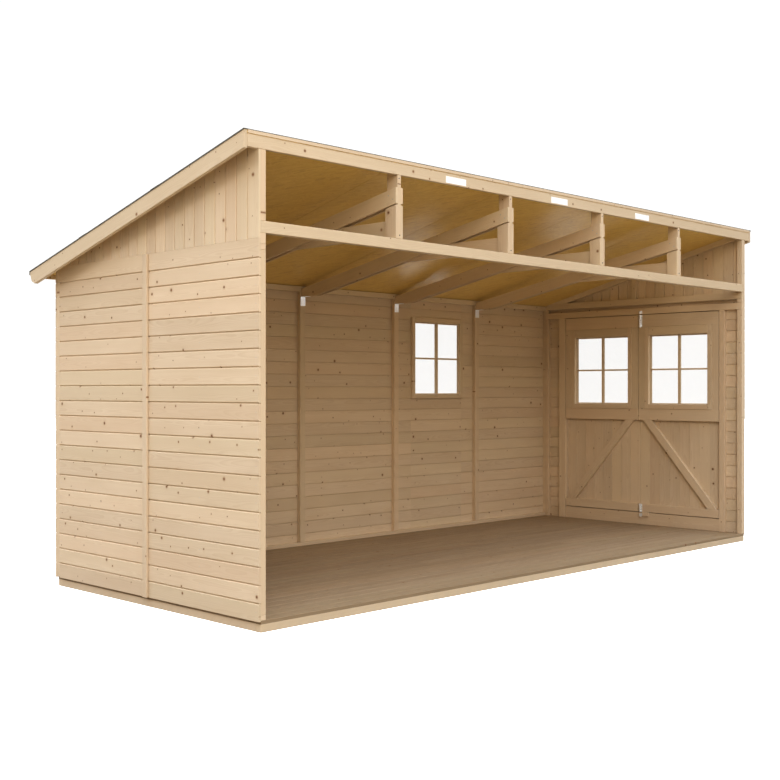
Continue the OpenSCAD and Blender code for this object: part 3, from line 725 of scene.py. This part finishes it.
# ---- floor and base
b = Build()
P = lambda a, l, d: (l, a, FLOOR_Z - d)
n_fl = 22
pitch = BD / n_fl
for i in range(n_fl):
    y0, y1 = i * pitch, (i + 1) * pitch
    prof = board_profile(y1 - y0, 19.0, out=2.2, inn=1.6, slot=1.3, lo_edge=i > 0, hi_edge=i < n_fl - 1)
    # each course is laid in two lengths that meet on a joist
    cut = [0, BL] if i in (0, n_fl - 1) else [0, 22 + (BL - 44) / 10 * rng.choice((3, 4, 5, 6, 7)), BL]
    for c0, c1 in zip(cut, cut[1:]):
        c0b = c0 + (0.5 if c0 > 0 else 0)
        c1b = c1 - (0.5 if c1 < BL else 0)
        b.prism([P(y0 + u, c0b, d) for u, d in prof], [P(y0 + u, c1b, d) for u, d in prof], 0.0, "X")
b.obj("floor_boards_v", W_FLR, ["floor_boards"], slot="floor_timber")
b = Build()
b.box((0, 0, 0), (BL, 44, 42), 1.8, "X")
b.box((0, BD - 44, 0), (BL, BD, 42), 1.8, "X")
b.obj("base_long_beams_v", W_FRM, ["base_long_beams"], slot="frame_timber")
b = Build()
for i in range(11):
    x = i * (BL - 44) / 10
    b.box((x, 44 + E, 0), (x + 44, BD - 44 - E, 42), 1.8, "Y")
b.obj("base_joists_v", W_FRM, ["base_joists"], slot="frame_timber")

# ---- open side and trusses
b = Build()
b.box((0, 0, HZ0), (BL, 44, HZ0 + HH), 2.0, "X")
b.obj("header_beam_v", W_FRM, ["header_beam"], slot="frame_timber")
hz = HZ0 + HH
posts, ties, rafts, packs, brk = Build(), Build(), Build(), Build(), Build()
scr = Build()
dark = Build()
for i in range(1, 5):
    c = 1020.0 * i
    h = POST_T / 2
    # dark discs on the post fronts: screw heads coloured with the painted shade of their countersunk holes
    dark.cyl((c + 2, 0, hz + 20), (0, -1, 0), 4.5, 0.5, n=16)
    dark.cyl((c - 3, 0, 2470), (0, -1, 0), 4.0, 0.5, n=16)
    posts.along_x(c - h, c + h, [(0, hz), (POST_D, hz), (POST_D, under(POST_D)), (26, under(26)), (26, 2489), (0, 2489)], 1.4, "Z")
    t0, t1 = 2137.0, 2231.0
    ties.along_x(c - h, c + h, [(POST_D + E, t0), ((R_Z - t0) / R_SLOPE + 150, t0), ((R_Z - t0) / R_SLOPE + 60, t0 + 60),
                                ((R_Z + R_H - t1) / R_SLOPE - 20, t1), (POST_D + E, t1)], 1.4, "Y")
    for s in (-1, 1):
        xa = c + h if s > 0 else c - h - R_T
        rafts.along_x(xa, xa + R_T, [(0, rlow(0)), ((R_Z - SEAT_Z) / R_SLOPE, SEAT_Z), (END_Y, SEAT_Z), (END_Y, rlow(END_Y) + R_H), (0, rlow(0) + R_H)], 1.4, (0, 1, -R_SLOPE))
        packs.along_x(xa, xa + R_T, [(0, hz), (POST_D, hz), (POST_D, rlow(POST_D) - 8), (0, rlow(0) - 8)], 1.4, "Z")
        # screws through the plies
        for yy, zz in ((26, rlow(26) + 30), (62, rlow(62) + 62)):
            scr.screw((xa + (R_T if s > 0 else 0), yy, zz), (s, 0, 0), 3.6, 1.2)
    x0 = c - 35
    brk.along_x(x0, x0 + 48, [(END_Y, SEAT_Z - 70), (END_Y, SEAT_Z - 0.2), (END_Y - 64, SEAT_Z - 0.2), (END_Y - 64, SEAT_Z - 2.7),
                              (END_Y - 2.5, SEAT_Z - 2.7), (END_Y - 2.5, SEAT_Z - 70)], 0.4, "Z")
    for dx in (12, 36):
        for dz in (18, 52):
            brk.screw((x0 + dx, END_Y - 2.5, SEAT_Z - dz), (0, -1, 0), 3.4, 1.3)
        for dyy in (24, 50):
            brk.screw((x0 + dx, END_Y - dyy, SEAT_Z - 2.7), (0, 0, -1), 3.4, 1.3)
posts.obj("truss_posts_v", W_FRM, ["truss_posts"], slot="frame_timber")
ties.obj("truss_ties_v", W_FRM, ["truss_ties"], slot="frame_timber")
rafts.obj("truss_rafters_v", W_FRM, ["truss_rafters"], slot="frame_timber")
packs.obj("truss_packers_v", W_FRM, ["truss_packers"], slot="frame_timber")
brk.obj("rafter_brackets_v", PLATE, ["rafter_brackets"], slot="zinc_steel")
scr.obj("truss_screws", ZINC, slot="zinc_steel")
dark.obj("post_screw_hole_shade", SCREW_HOLE_SHADE, slot="zinc_steel")

# ---- roof
b = Build()
cuts = [RX0 + BARGE_T] + [1020.0 * i for i in range(1, 5)] + [RX1 - BARGE_T]
for x0, x1 in zip(cuts, cuts[1:]):
    xa = x0 + (0.8 if x0 > 0 else 0)
    xb = x1 - (0.8 if x1 < 5000 else 0)
    b.along_x(xa, xb, [(RY0, under(RY0)), (RY1, under(RY1)), (RY1, under(RY1) + DV), (RY0, under(RY0) + DV)], 0.6, (0, 1, -SLOPE))
b.obj("roof_deck_v", OSB, ["roof_deck"], slot="roof_sheet")

b = Build()
# three strips of covering laid from the low edge up, each lapping the one below
lapz = 1.6
ys = [RY0 - FELT, 770.0, 1540.0, RY1 + FELT]
for i in range(3):
    y0 = ys[i]
    y1 = ys[i + 1] + (70 if i < 2 else 0)
    up0 = lapz * 0.15 if i == 0 else 0.0
    z0, z1 = under(y0) + DV, under(y1) + DV
    base_t = FELT - 0.4
    lift0 = 0.0
    lift1 = lapz if i < 2 else 0.0
    pts = [(y0, z0 + lift0 + 0.05), (y1 - 90 if i < 2 else y1, under(y1 - 90 if i < 2 else y1) + DV + 0.05)]
    if i < 2:
        pts += [(y1 - 60, under(y1 - 60) + DV + lift1 + 0.6), (y1, z1 + lift1 + 0.6), (y1, z1 + lift1 + 0.6 + base_t), (y1 - 66, under(y1 - 66) + DV + lift1 + 0.6 + base_t)]
    pts += [((y1 - 96) if i < 2 else y1, under((y1 - 96) if i < 2 else y1) + DV + base_t), (y0, z0 + base_t)]
    b.along_x(RX0 - FELT, RX1 + FELT, pts, 0.0, "X")
for x in (RX0 - FELT, RX1):
    b.along_x(x, x + FELT, [(RY0 - FELT, under(RY0 - FELT) + DV - 4), (RY1 + FELT, under(RY1 + FELT) + DV - 4), (RY1 + FELT, under(RY1 + FELT) + DV + FELT - 0.6), (RY0 - FELT, under(RY0 - FELT) + DV + FELT - 0.6)], 0.8, (0, 1, -SLOPE))
b.along_x(RX0 - FELT, RX1 + FELT, [(RY1, under(RY1) - 4), (RY1 + FELT, under(RY1 + FELT) - 4), (RY1 + FELT, under(RY1 + FELT) + DV), (RY1, under(RY1) + DV)], 0.6, "X")
b.obj("roof_covering_v", FELT_M, ["roof_covering"], slot="roof_felt")
b = Build()
b.along_x(RX0 + BARGE_T, RX1 - BARGE_T, [(-FELT, under(-FELT) + 0.6), (-0.1, under(0) + 0.6), (-0.1, under(0) + DV - 0.3), (-FELT, under(-FELT) + DV - 0.3)], 0.8, "X")
b.obj("roof_edge_strip", W_OUT, slot="wall_timber")
# clout nails along the edges of the covering
b = Build()
x = RX0 + 60
while x < RX1 - 40:
    b.cyl((x, RY1 + FELT, under(RY1) + 8), (0, 1, 0), 4.0, 0.9, n=10)
    x += 148
b.obj("covering_nails", ZINC, slot="zinc_steel")

b = Build()
for x in (RX0, RX1 - BARGE_T):
    b.along_x(x, x + BARGE_T, [(0, under(0) + DV - BARGE_H), (RY1 - 60, under(RY1 - 60) + DV - BARGE_H), (RY1 - 22, under(RY1 - 22) + DV - BARGE_H + 26),
                               (RY1, under(RY1) - 0.2), (RY1, under(RY1) + DV), (0, under(0) + DV)], 2.0, (0, 1, -SLOPE))
b.obj("barge_boards_v", W_OUT, ["barge_boards"], slot="wall_timber")
b = Build()
b.along_x(RX0 + BARGE_T + E, RX1 - BARGE_T - E, [(0, 2490), (25, 2490), (25, under(25) - 0.2), (0, under(0) - 0.2)], 2.0, "X")
b.obj("front_fascia_v", W_OUT, ["front_fascia"], slot="wall_timber")
b = Build()
b.along_x(RX0 + BARGE_T + E, RX1 - BARGE_T - E, [(RY1 - 20, 1970), (RY1, 1970), (RY1, under(RY1) - 0.2), (RY1 - 20, under(RY1 - 20) - 0.2)], 1.5, "X")
b.obj("back_eave_batten_v", W_OUT, ["back_eave_batten"], slot="wall_timber")
b = Build()
for x in (1512.0, 2557.0, 3567.0):
    b.box((x - 92, -1.5, 2497), (x + 92, 0, 2538), 0.35, "X")
    for dx in (-76, -46, -16, 16, 46, 76):
        for dz in (11, 30):
            b.screw((x + dx, -1.5, 2497 + dz), (0, -1, 0), 2.6, 0.9)
b.obj("joint_plates_v", PLATE, ["joint_plates"], slot="zinc_steel")


# ---- hinges
def strap(yax, s, name, rep, body):
    b = Build()
    for z in HINGE_ZS:
        ya, yb = yax, yax + s * 360
        w0, w1 = 15.0, 8.0
        base = [(HINGE_X - 8, ya, z - w0), (HINGE_X - 8, yb - s * 14, z - w1), (HINGE_X - 8, yb, z - w1 * 0.4), (HINGE_X - 8, yb, z + w1 * 0.4), (HINGE_X - 8, yb - s * 14, z + w1), (HINGE_X - 8, ya, z + w0)]
        top = [(HINGE_X - 4, p[1], p[2]) for p in base]
        b.prism(base, top, 0.6, "Y")
        # knuckle as a thick ring
        n = 28
        ro, ri = 7.0, 3.05
        verts, faces = [], []
        for zz in (z - 19, z + 19):
            for r in (ro, ri):
                for i in range(n):
                    w = 2 * math.pi * i / n
                    verts.append((HINGE_X + r * math.cos(w), yax + r * math.sin(w), zz))
        for i in range(n):
            j = (i + 1) % n
            faces += [[i, j, 2 * n + j, 2 * n + i], [n + j, n + i, 3 * n + i, 3 * n + j], [j, i, n + i, n + j], [2 * n + i, 2 * n + j, 3 * n + j, 3 * n + i]]
        b.add(verts, faces, "Z")
        for k in (45, 130, 215, 300, 340):
            b.screw((HINGE_X - 4, yax + s * k, z), (1, 0, 0), 4.2, 1.8)
    b.obj(name, ZINC, [rep], body, "zinc_steel")


strap(LB + GAP / 2, -1, "left_door_hinges_v", "left_door_hinges", "left_door")
strap(RA - GAP / 2, 1, "right_door_hinges_v", "right_door_hinges", "right_door")
b = Build()
for yax, s in ((LB + GAP / 2, 1), (RA - GAP / 2, -1)):
    for z in HINGE_ZS:
        b.cyl((HINGE_X, yax, z - 50), (0, 0, 1), 7, 30.5, n=28)
        b.cyl((HINGE_X, yax, z + 19.5), (0, 0, 1), 7, 30.5, n=28)
        b.cyl((HINGE_X, yax, z - 50), (0, 0, 1), 3, 100, n=20)
        ya, yb = sorted((yax, yax + s * 12))
        for kz in (-50, 19.5):
            b.box((HINGE_X - 8, ya, z + kz), (HINGE_X - 4, yb, z + kz + 30.5), 0.5, "Z")
        ya, yb = sorted((yax + s * 12, yax + s * 40))
        b.box((HINGE_X - 8, ya, z - 50), (HINGE_X - 4, yb, z + 50), 0.6, "Z")
        for kz in (-36, 0, 36):
            b.screw((HINGE_X - 4, yax + s * 27, z + kz), (1, 0, 0), 4.2, 1.8)
b.obj("hinge_plates_v", ZINC, ["hinge_plates"], slot="zinc_steel")


# ---- barrel bolts
def guide(b, z0, z1):
    n = 28
    ro, ri = 7.0, 4.3
    b.box((BOLT_X + 5.6, BOLT_Y - 7, z0), (LEDGE - 2, BOLT_Y + 7, z1), 0.4, "Z")
    verts, faces = [], []
    for zz in (z0, z1):
        for r in (ro, ri):
            for i in range(n):
                w = 2 * math.pi * i / n
                verts.append((BOLT_X + r * math.cos(w), BOLT_Y + r * math.sin(w), zz))
    for i in range(n):
        j = (i + 1) % n
        faces += [[i, j, 2 * n + j, 2 * n + i], [n + j, n + i, 3 * n + i, 3 * n + j], [j, i, n + i, n + j], [2 * n + i, 2 * n + j, 3 * n + j, 3 * n + i]]
    b.add(verts, faces, "Z")


b = Build()
b.box((LEDGE - 2, BOLT_Y - 17, 1806), (LEDGE, BOLT_Y + 17, LZ1 - 1), 0.5, "Z")
guide(b, 1806, 1831); guide(b, LZ1 - 31, LZ1 - 1)
b.box((LEDGE - 2, BOLT_Y - 17, LZ0 + 1), (LEDGE, BOLT_Y + 17, 242), 0.5, "Z")
guide(b, LZ0 + 1, LZ0 + 17); guide(b, 229, 242)
for z in (1812, 1856, 1906, 178, 208, 236):
    for s in (-1, 1):
        b.screw((LEDGE - 2, BOLT_Y + s * 12, z), (-1, 0, 0), 2.6, 1.2)
b.obj("bolt_barrels_v", BRIGHT, ["bolt_barrels"], "right_door", "zinc_steel")
b = Build()
b.cyl((BOLT_X, BOLT_Y, 1800), (0, 0, 1), 4, LZ1 - 1800, n=24, ch=0.8)
b.cyl((BOLT_X, BOLT_Y, 1840), (-1, 0, 0), 3, 16, n=20, ch=0.8)
b.obj("top_bolt_v", BRIGHT, ["top_bolt"], "top_bolt", "zinc_steel")
b = Build()
b.cyl((BOLT_X, BOLT_Y, 246), (0, 0, -1), 4, 246 - LZ0, n=24, ch=0.8)
b.cyl((BOLT_X, BOLT_Y, 222), (-1, 0, 0), 3, 16, n=20, ch=0.8)
b.obj("bottom_bolt_v", BRIGHT, ["bottom_bolt"], "bottom_bolt", "zinc_steel")
b = Build()
for z0, z1, xw in ((SILL_Z - 36, SILL_Z - 8, BL - 30), (HEAD_Z + 6, HEAD_Z + 30, BL - FT)):
    n = 28
    verts, faces = [], []
    outer = []
    for i in range(n):
        w = 2 * math.pi * i / n
        cx, cy = math.cos(w), math.sin(w)
        m = max(abs(cx), abs(cy))
        qx = BOLT_X + cx / m * 8 if cx < 0 else BOLT_X + cx / m * (xw - BOLT_X)
        outer.append((qx, BOLT_Y + cy / m * 9))
    for zz in (z0, z1):
        for (qx, qy) in outer:
            verts.append((qx, qy, zz))
        for i in range(n):
            w = 2 * math.pi * i / n
            verts.append((BOLT_X + 5 * math.cos(w), BOLT_Y + 5 * math.sin(w), zz))
    for i in range(n):
        j = (i + 1) % n
        faces += [[i, j, 2 * n + j, 2 * n + i], [n + j, n + i, 3 * n + i, 3 * n + j], [j, i, n + i, n + j], [2 * n + i, 2 * n + j, 3 * n + j, 3 * n + i]]
    b.add(verts, faces, "Z")
    for s in (-1, 1):
        ya, yb = sorted((BOLT_Y + s * 9, BOLT_Y + s * 17))
        b.box((xw - 2, ya, z0), (xw, yb, z1), 0.4, "Z")
        b.screw((xw - 2, BOLT_Y + s * 13, (z0 + z1) / 2), (-1, 0, 0), 2.4, 1.1)
b.obj("bolt_keepers_v", BRIGHT, ["bolt_keepers"], slot="zinc_steel")

# ---- nail heads in the boards, over the studs and rails behind them
b = Build()
mids = [CLAD_Z + PITCH * (k + 0.5) for k in range(20)] + [1982.0]
for z in mids:
    for y in studs_l:
        yy = y + 22
        if abs(yy - SPLIT_Y) < 24:
            continue
        nails(b, [(-BT, yy, z + rng.uniform(-3, 3))], (-1, 0, 0))
    for y in (22, DY0 - 24, DY1 + 18, DY1 + 56, END_Y - 16):
        nails(b, [(BL + BT, y, z + rng.uniform(-3, 3))], (1, 0, 0))
    for x in [8.0] + [0.5 * (p + q) for p, q in stud_x] + [BL - 8]:
        nails(b, [(x, BD + BT, z + rng.uniform(-3, 3))], (0, 1, 0))
for k in range(22):
    y = min(PITCH * (k + 0.5), END_Y - 20)
    for x, s in ((-BT, -1), (BL + BT, 1)):
        nails(b, [(x, y, 2044)], (s, 0, 0))
        if under(y) - 20 > 2090:
            nails(b, [(x, y, under(y) - 22 if y > 120 else under(y) - 90)], (s, 0, 0))
b.obj("board_nails", NAIL, slot="zinc_steel")
for side, ya, yb, body in (("right", RA, RB, "right_door"), ("left", LA, LB, "left_door")):
    b = Build()
    pitch = (yb - ya) / 8
    for i in range(8):
        y = ya + pitch * (i + 0.5)
        for z in (206, 1032, 1858):
            nails(b, [(BL + BT, y, z)], (1, 0, 0))
    b.obj(side + "_door_nails", NAIL, body=body, slot="zinc_steel")

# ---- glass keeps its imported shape
for n in ("back_window_glass", "left_door_glass", "right_door_glass"):
    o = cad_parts[n]
    o.data.materials.clear()
    o.data.materials.append(GLASS)

# ------------------------------------------------------------------ stage, light
fl = bpy.data.meshes.new("studio_floor")
S = 40.0
fl.from_pydata([(-S, -S, 0), (S, -S, 0), (S, S, 0), (-S, S, 0)], [], [(0, 1, 2, 3)])
flo = bpy.data.objects.new("studio_floor", fl)
flo.location.z = -0.0005
scene.collection.objects.link(flo)
fl.materials.append(floor_paint("studio_floor_paint"))

world = bpy.data.worlds.new("studio")
scene.world = world
world.use_nodes = True
wt = world.node_tree
wt.nodes.clear()
wo = wt.nodes.new("ShaderNodeOutputWorld")
mixw = wt.nodes.new("ShaderNodeMixShader")
lp = wt.nodes.new("ShaderNodeLightPath")
bgc = wt.nodes.new("ShaderNodeBackground")
bgc.inputs[0].default_value = (1, 1, 1, 1)
bgc.inputs[1].default_value = 1.05
bgl = wt.nodes.new("ShaderNodeBackground")
tc = wt.nodes.new("ShaderNodeTexCoord")
sx = wt.nodes.new("ShaderNodeSeparateXYZ")
mr = wt.nodes.new("ShaderNodeMapRange")
wt.links.new(tc.outputs["Generated"], sx.inputs[0])
pw = wt.nodes.new("ShaderNodeMath")
pw.operation = "POWER"
mx = wt.nodes.new("ShaderNodeMath")
mx.operation = "MAXIMUM"
mx.inputs[1].default_value = 0.0
wt.links.new(sx.outputs[2], mx.inputs[0])
wt.links.new(mx.outputs[0], pw.inputs[0])
pw.inputs[1].default_value = 1.6
wt.links.new(pw.outputs[0], mr.inputs[0])
mr.inputs[1].default_value = 0.0
mr.inputs[2].default_value = 1.0
mr.inputs[3].default_value = 0.12
mr.inputs[4].default_value = 3.55
tint = wt.nodes.new("ShaderNodeMix")
tint.data_type = "RGBA"
tr = wt.nodes.new("ShaderNodeMapRange")
tr.interpolation_type = "SMOOTHSTEP"
tr.inputs[1].default_value = 0.05
tr.inputs[2].default_value = 0.80
wt.links.new(mx.outputs[0], tr.inputs[0])
wt.links.new(tr.outputs[0], tint.inputs[0])
tint.inputs[6].default_value = (1.0, 0.78, 0.50, 1)
tint.inputs[7].default_value = (0.885, 0.98, 1.12, 1)
wt.links.new(tint.outputs[2], bgl.inputs[0])
wt.links.new(mr.outputs[0], bgl.inputs[1])
seen = wt.nodes.new("ShaderNodeMath")
seen.operation = "MAXIMUM"
wt.links.new(lp.outputs["Is Camera Ray"], seen.inputs[0])
wt.links.new(lp.outputs["Is Glossy Ray"], seen.inputs[1])
wt.links.new(seen.outputs[0], mixw.inputs[0])
wt.links.new(bgl.outputs[0], mixw.inputs[1])
wt.links.new(bgc.outputs[0], mixw.inputs[2])
wt.links.new(mixw.outputs[0], wo.inputs[0])


def area(name, loc, target, size, power, color=(1, 1, 1)):
    l = bpy.data.lights.new(name, "AREA")
    l.shape = "SQUARE"
    l.size = size
    l.energy = power
    l.color = color
    o = bpy.data.objects.new(name, l)
    scene.collection.objects.link(o)
    o.location = loc
    o.rotation_euler = (Vector(target) - Vector(loc)).to_track_quat("-Z", "Y").to_euler()
    return o


area("key_soft", (-7.5, -9.0, 6.2), (0.6, 0, 1.1), 5.0, 480.0, (1.0, 0.945, 0.85))
area("side_soft", (-11.0, 2.6, 7.2), (-2.5, 0, 1.4), 2.6, 130.0, (0.97, 1.0, 1.06))
scene.view_settings.view_transform = "Standard"
scene.view_settings.look = "None"
scene.view_settings.exposure = 0.0
scene.view_settings.gamma = 0.75
